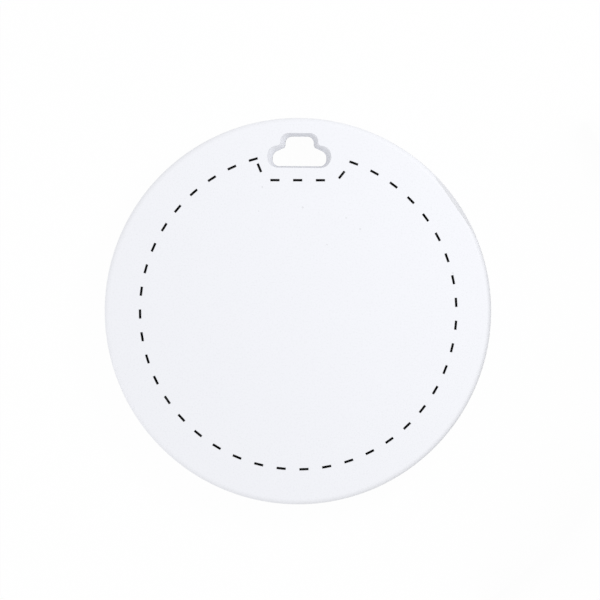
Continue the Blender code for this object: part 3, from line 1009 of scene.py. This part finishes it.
@dataclass
class PrintGuide:
    """The dashed outline printed on the face, a little turned and shifted, which steps round the hole."""

    palette: Palette
    radius: float = 15.55 * MM
    start: float = 105.0
    pitch: float = 8.28
    count: int = 40
    dash: float = 0.9 * MM
    width: float = 0.23 * MM
    ink: float = INK_THICKNESS
    turn: float = 0.35
    shift: float = 0.04 * MM
    step: tuple[tuple[float, float, float], ...] = (
        (4.25 * MM, 13.415 * MM, 51.6),
        (2.155 * MM, 12.88 * MM, 0.0),
        (-0.08 * MM, 12.88 * MM, 0.0),
        (-2.32 * MM, 12.88 * MM, 0.0),
        (-3.85 * MM, 14.085 * MM, 112.3),
    )

    def places(self) -> list[tuple[float, float, float]]:
        """Each dash's centre and direction: the ring of dashes, then the step round the hole."""
        half = math.degrees(self.dash / self.radius) / 2
        ring = []
        for index in range(self.count):
            angle = self.start + half + index * self.pitch
            x, y = (self.radius * function(math.radians(angle)) for function in (math.cos, math.sin))
            ring.append((x, y, angle + 90.0))
        return ring + list(self.step)

    def build(self) -> None:
        """Models one dash, copies it to each place and joins the copies."""
        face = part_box("front_cover")[1].z
        pattern = Bench.block(
            "dash",
            Vector((-self.dash / 2, -self.width / 2, -self.ink)),
            Vector((self.dash / 2, self.width / 2, 0.0)),
        )
        half = self.ink / 2
        Bench.round_edges(
            pattern, lambda e: abs(e.verts[0].co.z - e.verts[1].co.z) > half, self.width / 12, 2
        )
        dashes = []
        for index, (x, y, angle) in enumerate(self.places(), 1):
            copy = bpy.data.objects.new(f"dash_{index}", pattern.data.copy())
            bpy.context.scene.collection.objects.link(copy)
            copy.location = (x, y, face)
            copy.rotation_euler = (0.0, 0.0, math.radians(angle))
            dashes.append(copy)
        bpy.data.objects.remove(pattern, do_unlink=True)
        Bench.clear()
        for copy in dashes:
            copy.select_set(True)
        bpy.context.view_layer.objects.active = dashes[0]
        bpy.ops.object.join()
        guide = bpy.context.object
        guide.name = guide.data.name = "dashed_outline"
        Bench.settle(guide)
        guide.location.x = self.shift
        Bench.turn(guide, self.turn)
        self.palette.dress(guide, "ink")
        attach(guide, Body.FRONT.value)
        LOG.info("%s: %d dashes", guide.name, len(dashes))


# -------------------------------------------------------------------- inside


@dataclass
class CoinCell:
    """The lithium cell: a crimped can, an insulating gasket and a domed-edge cap, can side down."""

    palette: Palette
    sides: int = 128
    edge: float = 0.3 * MM
    crimp: float = 0.5 * MM
    gap: float = 0.05 * MM
    soft: float = 0.06 * MM

    def build(self) -> None:
        """Models the three pieces."""
        low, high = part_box("cell_can")
        cap_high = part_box("cell_cap")[1]
        sunk = high.z - 2 * self.edge
        can = Bench.cylinder("coin_cell_can", high.x, low.z, high.z, self.sides)
        self._sink(can, high.z, self.crimp, sunk)
        rim = high.x - self.soft
        Bench.round_edges(
            can,
            lambda e: all(radial(v.co) > rim for v in e.verts) and e.verts[0].co.z == e.verts[1].co.z,
            self.edge,
            6,
        )
        self._finish(can, "cell_can", "steel")
        bore = high.x - self.crimp - self.gap
        gasket = Bench.cylinder("coin_cell_gasket", bore, sunk + self.gap, high.z, self.sides)
        self._sink(gasket, high.z, bore - cap_high.x - self.gap, sunk + 2 * self.gap)
        self._finish(gasket, "cell_gasket", "nylon")
        cap = Bench.cylinder("coin_cell_cap", cap_high.x, sunk + 3 * self.gap, cap_high.z, self.sides)
        Bench.round_edges(cap, lambda e: all(v.co.z > cap_high.z - self.soft for v in e.verts), self.edge, 6)
        self._finish(cap, "cell_cap", "steel")

    @staticmethod
    def _sink(piece: bpy.types.Object, top: float, width: float, floor: float) -> None:
        """Sinks a round blank's top inside a rim.

        Args:
            piece: the blank.
            top: the height of its top.
            width: the rim's width.
            floor: the height that its middle sinks to.
        """
        Bench.edit(piece)
        Bench.pick(piece, "faces", lambda f: f.normal.z > 0.9)
        bpy.ops.mesh.inset(thickness=width, depth=0.0)
        bpy.ops.mesh.extrude_region_move(TRANSFORM_OT_translate={"value": (0.0, 0.0, floor - top)})
        Bench.close()

    def _finish(self, piece: bpy.types.Object, node: str, finish: str) -> None:
        """Smooths and dresses one piece of the cell, attaches it to the cell's body and hides its CAD node.

        Args:
            piece: the piece.
            node: the CAD node that it stands for.
            finish: the finish's field name.
        """
        Bench.smooth(piece)
        self.palette.dress(piece, finish)
        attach(piece, Body.CELL.value)
        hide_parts(node)
        LOG.info("%s: %d faces", piece.name, len(piece.data.polygons))


@dataclass
class Inside:
    """The board, contacts, switch, sounder and seal, which keep their CAD shapes."""

    palette: Palette
    finish_of: dict[str, str] = field(
        default_factory=lambda: {
            "sealing_ring": "silicone",
            "battery_pad": "foam",
            "inner_frame": "nylon",
            "circuit_board": "board",
            "bluetooth_chip": "resin",
            "main_crystal": "steel",
            "timing_crystal": "steel",
            "chip_antenna": "white_ceramic",
            "boost_coil": "ferrite",
            "driver_transistor": "resin",
            "reservoir_capacitor": "tan_ceramic",
            "positive_contact": "gilt",
            "negative_contact": "gilt",
            "plate_spring": "gilt",
            "ceramic_spring": "gilt",
            "switch_body": "nylon",
            "switch_dome": "steel",
            "switch_lid": "steel",
            "switch_plunger": "nylon",
            "piezo_tape": "foam",
            "piezo_plate": "brass",
            "piezo_ceramic": "white_ceramic",
        }
    )
    chips: tuple[tuple[str, int, str], ...] = (("capacitor", 4, "tan_ceramic"), ("resistor", 2, "resin"))

    def build(self) -> None:
        """Dresses every CAD node that stays in view."""
        names = dict(self.finish_of)
        for stem, count, finish in self.chips:
            for index in range(1, count + 1):
                names[f"{stem}_{index}"] = finish
        for node, finish in names.items():
            self.palette.dress(frame["nodes"][node], finish)
            LOG.info("%s: %s", node, finish)


# -------------------------------------------------------------------- studio


@dataclass(frozen=True)
class SoftBox:
    """One soft lamp, aimed at the tag."""

    name: str
    place: tuple[float, float, float]
    size: float
    power: float

    def light(self, target: Vector) -> None:
        """Adds the lamp.

        Args:
            target: the point that it faces.
        """
        data = bpy.data.lights.new(self.name, "AREA")
        data.shape = "DISK"
        data.size = self.size
        data.energy = self.power
        lamp = bpy.data.objects.new(self.name, data)
        bpy.context.scene.collection.objects.link(lamp)
        lamp.location = self.place
        lamp.rotation_euler = (target - Vector(self.place)).to_track_quat("-Z", "Y").to_euler()


@dataclass
class Studio:
    """White floor, even sky, soft lamps and the camera.

    The floor shows floor_glow of its own light to the camera and table_glow of it to the tag.
    """

    frame_width: float = 59.0 * MM
    distance: float = 2.2
    sensor: float = 36.0
    offset: Point = (0.21 * MM, 1.10 * MM)
    lean: Point = (0.6, 0.2)
    roll: float = 0.5
    sky: float = 0.78
    clip: Point = (0.01, 20.0)
    paper: Colour = (0.86, 0.86, 0.86)
    floor_half: float = 0.6
    floor_drop: float = 0.02 * MM
    floor_glow: float = 0.97
    table_glow: float = 0.5
    flag_radius: float = 34.0 * MM
    flag_height: float = 7.0 * MM
    flag_angle: float = -12.0
    flag_half_angle: float = 46.0
    lamps: tuple[SoftBox, ...] = (
        SoftBox("key", (0.06, 0.045, 0.15), 0.06, 0.078),
        SoftBox("fill", (-0.075, -0.035, 0.012), 0.02, 0.006),
    )

    def build(self) -> None:
        """Builds the studio round the tag."""
        top = CAD_BOX[1][2]
        target = Vector((0.0, 0.0, top / 2))
        for lamp in self.lamps:
            lamp.light(target)
        self._flag()
        self._sky()
        self._floor()
        self._camera(top)
        bpy.context.scene.view_settings.view_transform = "Standard"

    def _flag(self) -> None:
        """A low curved black flag that deepens the shade on the tag's right edge."""
        Bench.clear()
        middle_height = (0.0, 0.0, self.flag_height / 2)
        bpy.ops.mesh.primitive_cylinder_add(
            vertices=90, radius=self.flag_radius, depth=self.flag_height, location=middle_height
        )
        flag = bpy.context.object
        flag.name = "flag"
        Bench.settle(flag)
        Bench.edit(flag)
        middle = Vector((math.cos(math.radians(self.flag_angle)), math.sin(math.radians(self.flag_angle))))
        spread = math.cos(math.radians(self.flag_half_angle))

        def beyond(face: bmesh.types.BMFace) -> bool:
            """True where a face of the ring isn't part of the flag."""
            return abs(face.normal.z) > 0.5 or face.normal.xy.normalized().dot(middle) < spread

        Bench.pick(flag, "faces", beyond)
        bpy.ops.mesh.delete(type="FACE")
        Bench.close()
        flag.visible_camera = False
        surface = Surface("flag_cloth")
        cloth = surface.mix(surface.noise(0.5 * MM), (0.01, 0.01, 0.01), (0.02, 0.02, 0.02))
        flag.data.materials.append(surface.wear(Base_Color=cloth, Roughness=0.9, Specular_IOR_Level=0.1))

    def _sky(self) -> None:
        """An even sky, white to the camera and in reflections."""
        world = bpy.data.worlds.new("sky")
        world.use_nodes = True
        bpy.context.scene.world = world
        tree = world.node_tree
        background = tree.nodes["Background"]
        background.inputs["Color"].default_value = (1.0, 1.0, 1.0, 1.0)
        path = tree.nodes.new("ShaderNodeLightPath")
        camera = Wire(tree, path.outputs["Is Camera Ray"])
        strength = camera * (1.0 - self.sky) + self.sky
        tree.links.new(strength.socket, background.inputs["Strength"])

    def _floor(self) -> None:
        """A white floor that keeps the tag's shadow, and that is clear from below."""
        Bench.clear()
        bpy.ops.mesh.primitive_plane_add(size=2 * self.floor_half, location=(0.0, 0.0, -self.floor_drop))
        floor = bpy.context.object
        floor.name = "floor"
        Bench.settle(floor)
        surface = Surface("floor_paper")
        material = surface.wear(Base_Color=(*self.paper, 1.0), Roughness=0.9, Specular_IOR_Level=0.0)
        tree = surface.tree
        glow = surface.node("ShaderNodeEmission", {}, {"Color": (1.0, 1.0, 1.0, 1.0), "Strength": 1.0})
        seen = surface.node("ShaderNodeLightPath", {}, {}, "Is Camera Ray")
        share = seen * (self.floor_glow - self.table_glow) + self.table_glow
        lit = Wire(tree, surface.shader.outputs[0])
        mixed = surface.node("ShaderNodeMixShader", {}, {0: share, 1: lit, 2: glow})
        under = surface.node("ShaderNodeNewGeometry", {}, {}, "Backfacing")
        clear = surface.node("ShaderNodeBsdfTransparent", {}, {})
        open_below = surface.node("ShaderNodeMixShader", {}, {0: under, 1: mixed, 2: clear})
        tree.links.new(open_below.socket, tree.nodes["Material Output"].inputs["Surface"])
        floor.data.materials.append(material)

    def _camera(self, top: float) -> None:
        """The camera, straight above the face.

        Args:
            top: the face's height.
        """
        data = bpy.data.cameras.new("camera")
        data.sensor_width = self.sensor
        data.lens = self.sensor * self.distance / self.frame_width
        data.clip_start, data.clip_end = self.clip
        camera = bpy.data.objects.new("camera", data)
        bpy.context.scene.collection.objects.link(camera)
        aside, along = (math.radians(angle) for angle in self.lean)
        turn = Euler((-along, aside, math.radians(self.roll)))
        camera.rotation_euler = turn
        camera.location = Vector((*self.offset, top)) + turn.to_matrix() @ Vector((0.0, 0.0, self.distance))
        bpy.context.scene.camera = camera


def main() -> None:
    """Builds the tag's looks and the studio."""
    logging.basicConfig(level=logging.INFO, format="%(name)s: %(message)s")
    palette = Palette(Finishes())
    Studio().build()
    FrontShell(palette).build()
    RearShell(palette).build()
    PrintGuide(palette).build()
    CoinCell(palette).build()
    Inside(palette).build()


if __name__ == "__main__":
    main()
